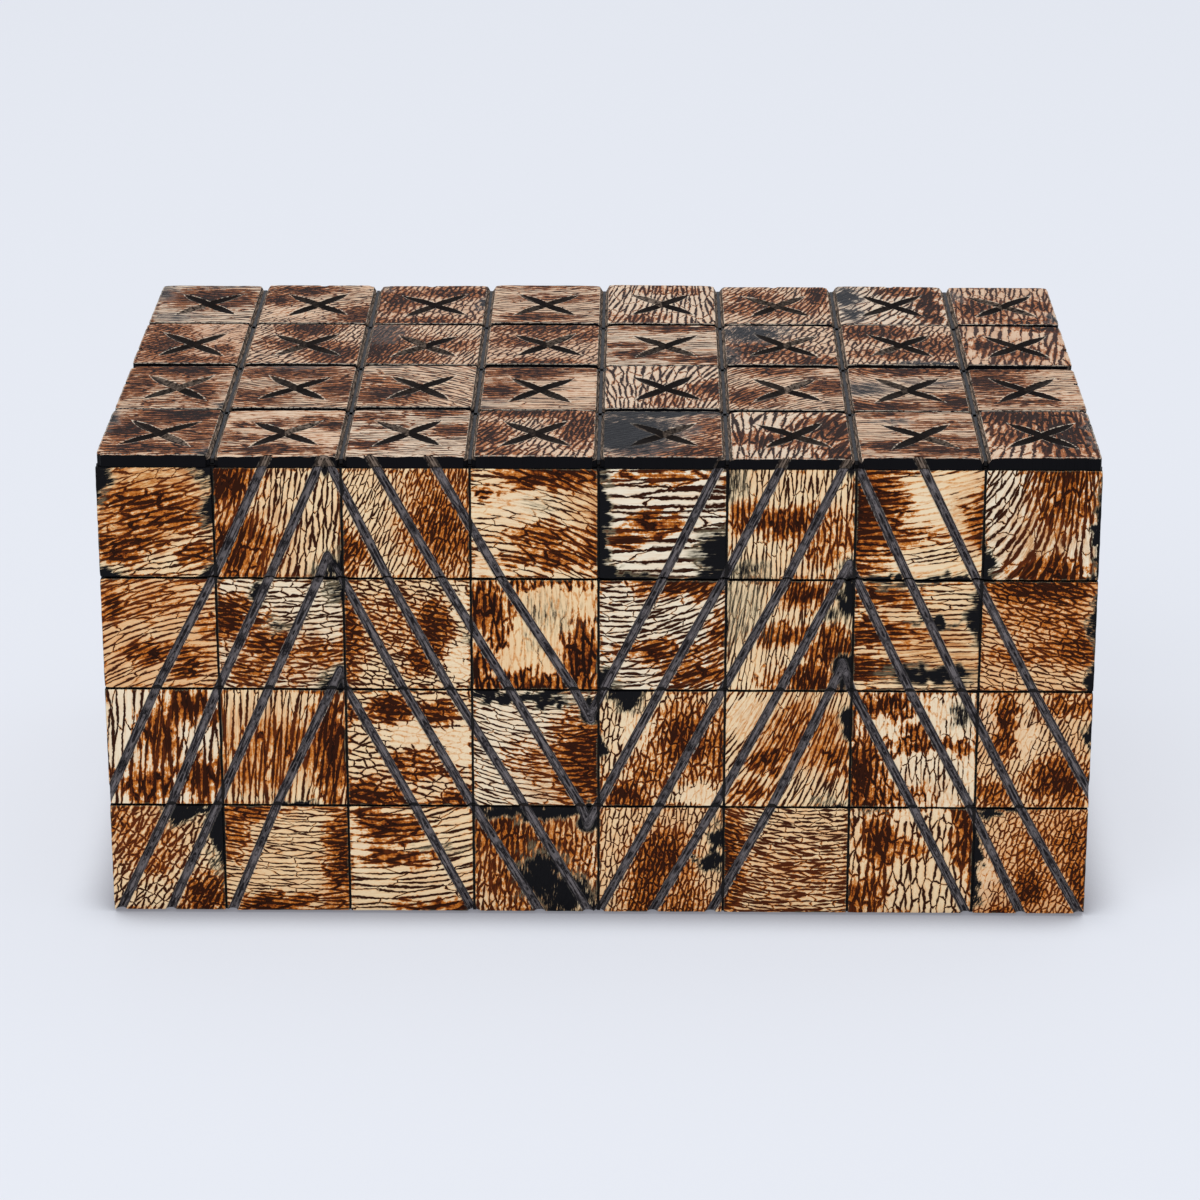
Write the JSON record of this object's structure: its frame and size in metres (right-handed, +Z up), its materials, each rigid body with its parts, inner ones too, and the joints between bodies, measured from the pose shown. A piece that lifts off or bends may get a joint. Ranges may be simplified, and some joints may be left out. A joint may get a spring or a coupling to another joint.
{
  "type": "inlaid storage box",
  "caption": "Rectangular keepsake box with a back-hinged lid, wooden carcass and scorched bone tiles carved with chevron channels and small crosses.",
  "frame": {"origin": "centre of the box's underside, on the surface it stands on", "axes": "+X to the right along the width, -Y out of the front, +Z up"},
  "size_m": [0.2032, 0.127, 0.101],
  "materials": {
    "bone_tiles": "satin",
    "wood": "satin",
    "felt": "matte",
    "brass": "satin"
  },
  "bodies": {
    "base": {"base_felt_pad": "felt", "base_bottom_board": "wood", "base_front_board": "wood", "base_left_board": "wood", "base_right_board": "wood", "base_back_board": "wood", "base_lining": "felt", "base_front_tiles_lower": "bone_tiles", "base_front_tiles_middle": "bone_tiles", "base_front_tiles_upper": "bone_tiles", "base_right_tiles_lower": "bone_tiles", "base_right_tiles_middle": "bone_tiles", "base_right_tiles_upper": "bone_tiles", "base_back_tiles_lower": "bone_tiles", "base_back_tiles_middle": "bone_tiles", "base_back_tiles_upper": "bone_tiles", "base_left_tiles_lower": "bone_tiles", "base_left_tiles_middle": "bone_tiles", "base_left_tiles_upper": "bone_tiles", "hinge_left_base_leaf": "brass", "hinge_left_pin": "brass", "hinge_left_base_screw_1": "brass", "hinge_left_base_screw_2": "brass", "hinge_right_base_leaf": "brass", "hinge_right_pin": "brass", "hinge_right_base_screw_1": "brass", "hinge_right_base_screw_2": "brass"},
    "lid": {"lid_top_board": "wood", "lid_front_rail": "wood", "lid_left_rail": "wood", "lid_right_rail": "wood", "lid_back_rail": "wood", "lid_lining": "felt", "lid_front_tiles": "bone_tiles", "lid_right_tiles": "bone_tiles", "lid_back_tiles": "bone_tiles", "lid_left_tiles": "bone_tiles", "lid_top_tiles_row_1": "bone_tiles", "lid_top_tiles_row_2": "bone_tiles", "lid_top_tiles_row_3": "bone_tiles", "lid_top_tiles_row_4": "bone_tiles", "hinge_left_lid_leaf": "brass", "hinge_left_lid_screw_1": "brass", "hinge_left_lid_screw_2": "brass", "hinge_right_lid_leaf": "brass", "hinge_right_lid_screw_1": "brass", "hinge_right_lid_screw_2": "brass"}
  },
  "joints": [
    {"name": "lid_hinge", "type": "hinge", "parent": "base", "child": "lid", "pos_m": [0, 0.0614, 0.0745], "axis": [-1, 0, 0], "range_deg": [0, 100]}
  ]
}
